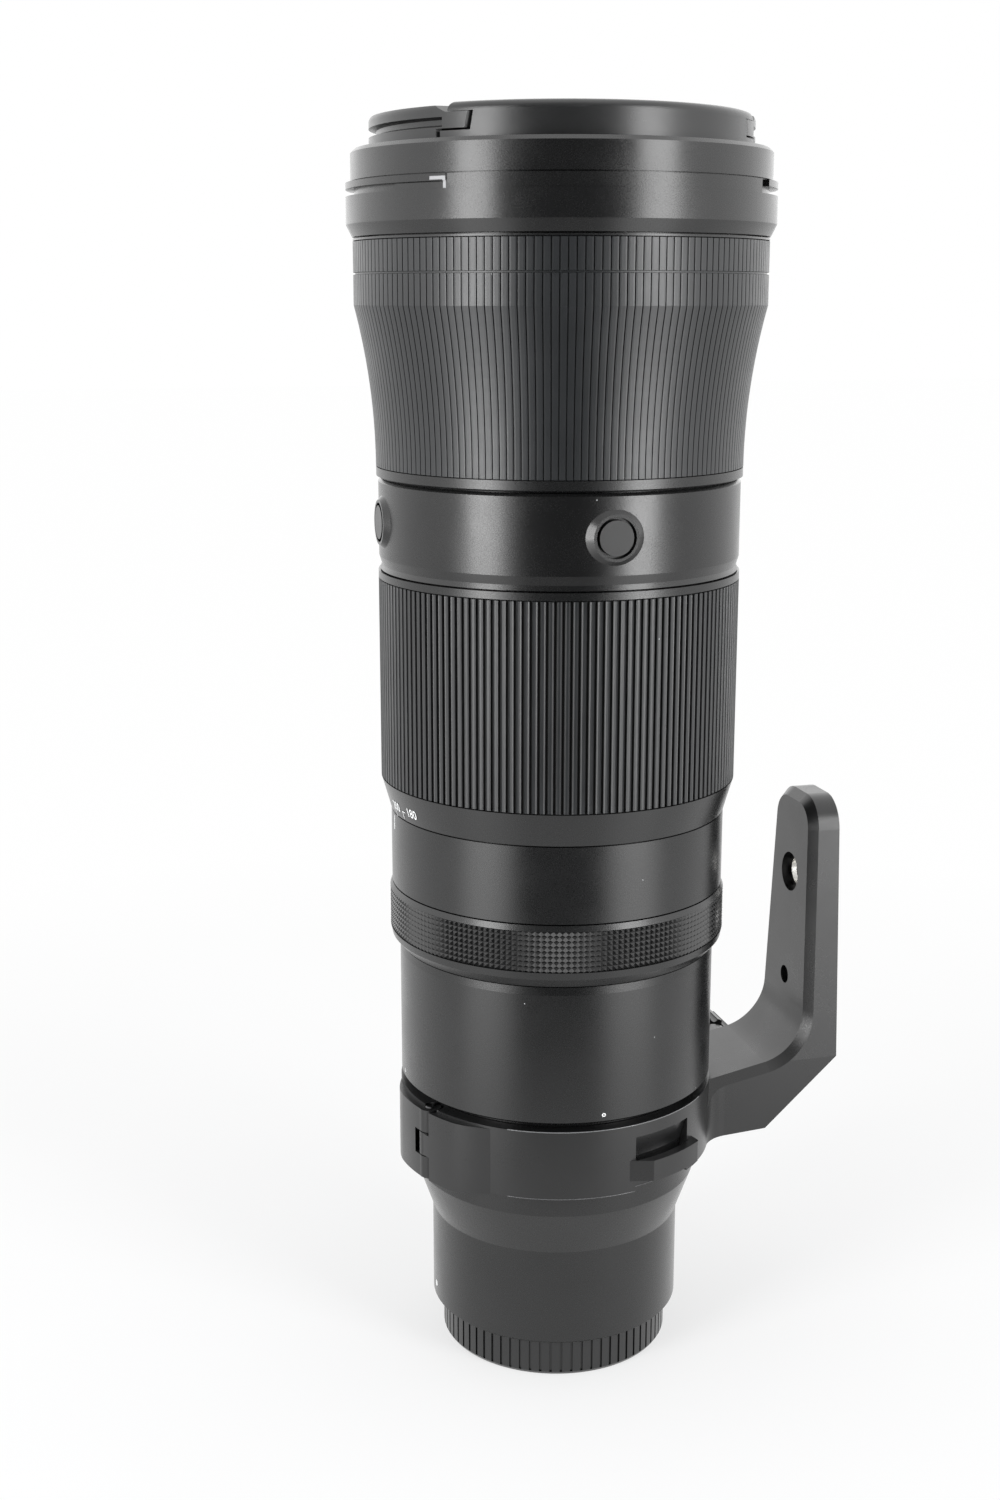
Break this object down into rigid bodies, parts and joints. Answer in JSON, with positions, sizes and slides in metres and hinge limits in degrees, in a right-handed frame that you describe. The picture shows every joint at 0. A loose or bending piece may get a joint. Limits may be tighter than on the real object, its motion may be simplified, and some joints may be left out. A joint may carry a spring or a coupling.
{
  "type": "camera zoom lens",
  "caption": "Long telephoto zoom lens standing on its rear cap, with ribbed zoom and focus rings, front cap and a hinged tripod collar with foot.",
  "frame": {"origin": "on the optical axis at the bottom face of the rear cap, where the lens stands", "axes": "+Z along the optical axis towards the front element, +X towards the tripod foot, -X towards the top of the lens with the zoom index, +Y towards the side with the switch panel"},
  "size_m": [0.1337, 0.11, 0.335],
  "materials": {
    "black_body": "satin textured black",
    "black_metal": "satin black anodised and painted",
    "collar_casting": "satin black textured paint",
    "grip_rubber": "matt ribbed",
    "cap_plastic": "satin",
    "gloss_black": "gloss",
    "steel": "bright",
    "chrome": "polished",
    "brass": "machined",
    "aluminium": "machined",
    "optical_glass": "coated",
    "inner_plastic": "matt",
    "gasket_rubber": "matt",
    "board": "satin",
    "gold": "plated"
  },
  "bodies": {
    "lens_body": {"front_barrel": "black_body", "front_name_ring": "inner_plastic", "front_lens_cell": "inner_plastic", "front_lens_1": "optical_glass", "front_lens_2": "optical_glass", "front_lens_3": "optical_glass", "fn_band": "black_body", "guide_tube": "aluminium", "middle_barrel": "black_body", "body_barrel": "black_metal", "rear_barrel": "black_metal", "switch_panel": "black_body", "lens_mount": "chrome", "mount_screws": "steel", "mount_gasket": "gasket_rubber", "contact_block": "inner_plastic", "contact_pins": "gold", "circuit_board": "board", "rear_lens_cell": "inner_plastic", "rear_lens": "optical_glass", "iris_housing": "inner_plastic", "iris_blades": "steel", "vr_base": "inner_plastic", "focus_motor": "steel", "focus_guide_shafts": "steel"},
    "zoom": {"zoom_ring": "black_body", "zoom_grip": "grip_rubber", "cam_barrel": "aluminium"},
    "focus": {"focus_ring": "black_body", "focus_grip": "grip_rubber"},
    "control": {"control_ring": "black_body"},
    "collar": {"collar_body": "collar_casting", "large_thread_bush": "steel", "hinge_pin": "steel"},
    "strap": {"collar_strap": "collar_casting"},
    "knob": {"clamp_knob": "collar_casting", "clamp_screw": "steel"},
    "front_cap": {"front_cap_body": "cap_plastic", "front_cap_springs": "steel"},
    "cap_tab_left": {"front_cap_tab_left": "cap_plastic"},
    "cap_tab_right": {"front_cap_tab_right": "cap_plastic"},
    "rear_cap_body": {"rear_cap": "cap_plastic"},
    "side_button": {"fn_button": "inner_plastic"},
    "mode_switch": {"focus_mode_switch": "inner_plastic"},
    "limit_switch": {"focus_limit_switch": "inner_plastic"},
    "variator": {"variator_frame": "inner_plastic", "variator_lens": "optical_glass"},
    "relay": {"relay_frame": "inner_plastic", "relay_lens": "optical_glass"},
    "focus_carriage_body": {"focus_frame": "inner_plastic", "focus_lens": "optical_glass"},
    "screw": {"lead_screw": "steel"},
    "diaphragm": {"iris_ring": "inner_plastic"},
    "vr_plate": {"vr_guide": "inner_plastic"},
    "vr_cell": {"vr_frame": "inner_plastic", "vr_lens": "optical_glass"},
    "button_1": {"fn2_button_1": "inner_plastic"},
    "button_2": {"fn2_button_2": "inner_plastic"},
    "button_3": {"fn2_button_3": "inner_plastic"},
    "button_4": {"fn2_button_4": "inner_plastic"}
  },
  "joints": [
    {"name": "focus_ring_turn", "type": "hinge", "parent": "lens_body", "child": "focus", "pos_m": [0, 0, 0.275], "axis": [0, 0, 1], "continuous": true},
    {"name": "control_ring_turn", "type": "hinge", "parent": "lens_body", "child": "control", "pos_m": [0, 0, 0.126], "axis": [0, 0, 1], "continuous": true},
    {"name": "zoom_ring_turn", "type": "hinge", "parent": "lens_body", "child": "zoom", "pos_m": [0, 0, 0.188], "axis": [0, 0, 1], "range_deg": [0, 70]},
    {"name": "variator_slide", "type": "slide", "parent": "lens_body", "child": "variator", "axis": [0, 0, 1], "range_m": [0, 0.024]},
    {"name": "relay_slide", "type": "slide", "parent": "lens_body", "child": "relay", "axis": [0, 0, 1], "range_m": [-0.016, 0]},
    {"name": "collar_turn", "type": "hinge", "parent": "lens_body", "child": "collar", "pos_m": [0, 0, 0.0678], "axis": [0, 0, 1], "continuous": true},
    {"name": "strap_open", "type": "hinge", "parent": "collar", "child": "strap", "pos_m": [-0.03985, -0.01506, 0.0678], "axis": [0, 0, 1], "range_deg": [0, 90]},
    {"name": "knob_turn", "type": "hinge", "parent": "strap", "child": "knob", "pos_m": [0.0567, 0.03, 0.0678], "axis": [0, 1, 0], "continuous": true},
    {"name": "front_cap_lift", "type": "slide", "parent": "lens_body", "child": "front_cap", "axis": [0, 0, 1], "range_m": [0, 0.03]},
    {"name": "tab_left_press", "type": "slide", "parent": "front_cap", "child": "cap_tab_left", "axis": [0.9976, 0.0698, 0], "range_m": [0, 0.0018], "stiffness_N_per_m": 1500},
    {"name": "tab_right_press", "type": "slide", "parent": "front_cap", "child": "cap_tab_right", "axis": [-0.9976, -0.0698, 0], "range_m": [0, 0.0018], "stiffness_N_per_m": 1500},
    {"name": "rear_cap_twist", "type": "hinge", "parent": "lens_body", "child": "rear_cap_body", "pos_m": [0, 0, 0.005], "axis": [0, 0, 1], "range_deg": [0, 45]},
    {"name": "side_button_press", "type": "slide", "parent": "lens_body", "child": "side_button", "axis": [0, -1, 0], "range_m": [0, 0.0006], "stiffness_N_per_m": 1500},
    {"name": "focus_mode_slide", "type": "slide", "parent": "lens_body", "child": "mode_switch", "axis": [0, 0, 1], "range_m": [0, 0.0035]},
    {"name": "focus_limit_slide", "type": "slide", "parent": "lens_body", "child": "limit_switch", "axis": [0, 0, 1], "range_m": [0, 0.0035]},
    {"name": "front_button_1_press", "type": "slide", "parent": "lens_body", "child": "button_1", "axis": [-1, 0, 0], "range_m": [0, 0.0008], "stiffness_N_per_m": 1200},
    {"name": "front_button_2_press", "type": "slide", "parent": "lens_body", "child": "button_2", "axis": [0, -1, 0], "range_m": [0, 0.0008], "stiffness_N_per_m": 1200},
    {"name": "front_button_3_press", "type": "slide", "parent": "lens_body", "child": "button_3", "axis": [1, 0, 0], "range_m": [0, 0.0008], "stiffness_N_per_m": 1200},
    {"name": "front_button_4_press", "type": "slide", "parent": "lens_body", "child": "button_4", "axis": [0, 1, 0], "range_m": [0, 0.0008], "stiffness_N_per_m": 1200},
    {"name": "focus_carriage", "type": "slide", "parent": "lens_body", "child": "focus_carriage_body", "axis": [0, 0, 1], "range_m": [0, 0.016]},
    {"name": "lead_screw_turn", "type": "hinge", "parent": "lens_body", "child": "screw", "pos_m": [0.031, 0, 0.105], "axis": [0, 0, 1], "range_deg": [0, 1440]},
    {"name": "diaphragm_turn", "type": "hinge", "parent": "lens_body", "child": "diaphragm", "pos_m": [0, 0, 0.122], "axis": [0, 0, 1], "range_deg": [0, 50]},
    {"name": "vr_shift_x", "type": "slide", "parent": "lens_body", "child": "vr_plate", "axis": [1, 0, 0], "range_m": [-0.001, 0.001], "stiffness_N_per_m": 300},
    {"name": "vr_shift_y", "type": "slide", "parent": "vr_plate", "child": "vr_cell", "axis": [0, 1, 0], "range_m": [-0.001, 0.001], "stiffness_N_per_m": 300}
  ],
  "couplings": [
    {"joint": "variator_slide", "follows": "zoom_ring_turn", "m_per_rad": 0.019644},
    {"joint": "relay_slide", "follows": "zoom_ring_turn", "m_per_rad": -0.013096},
    {"joint": "lead_screw_turn", "follows": "focus_carriage", "rad_per_m": 1570.8}
  ]
}
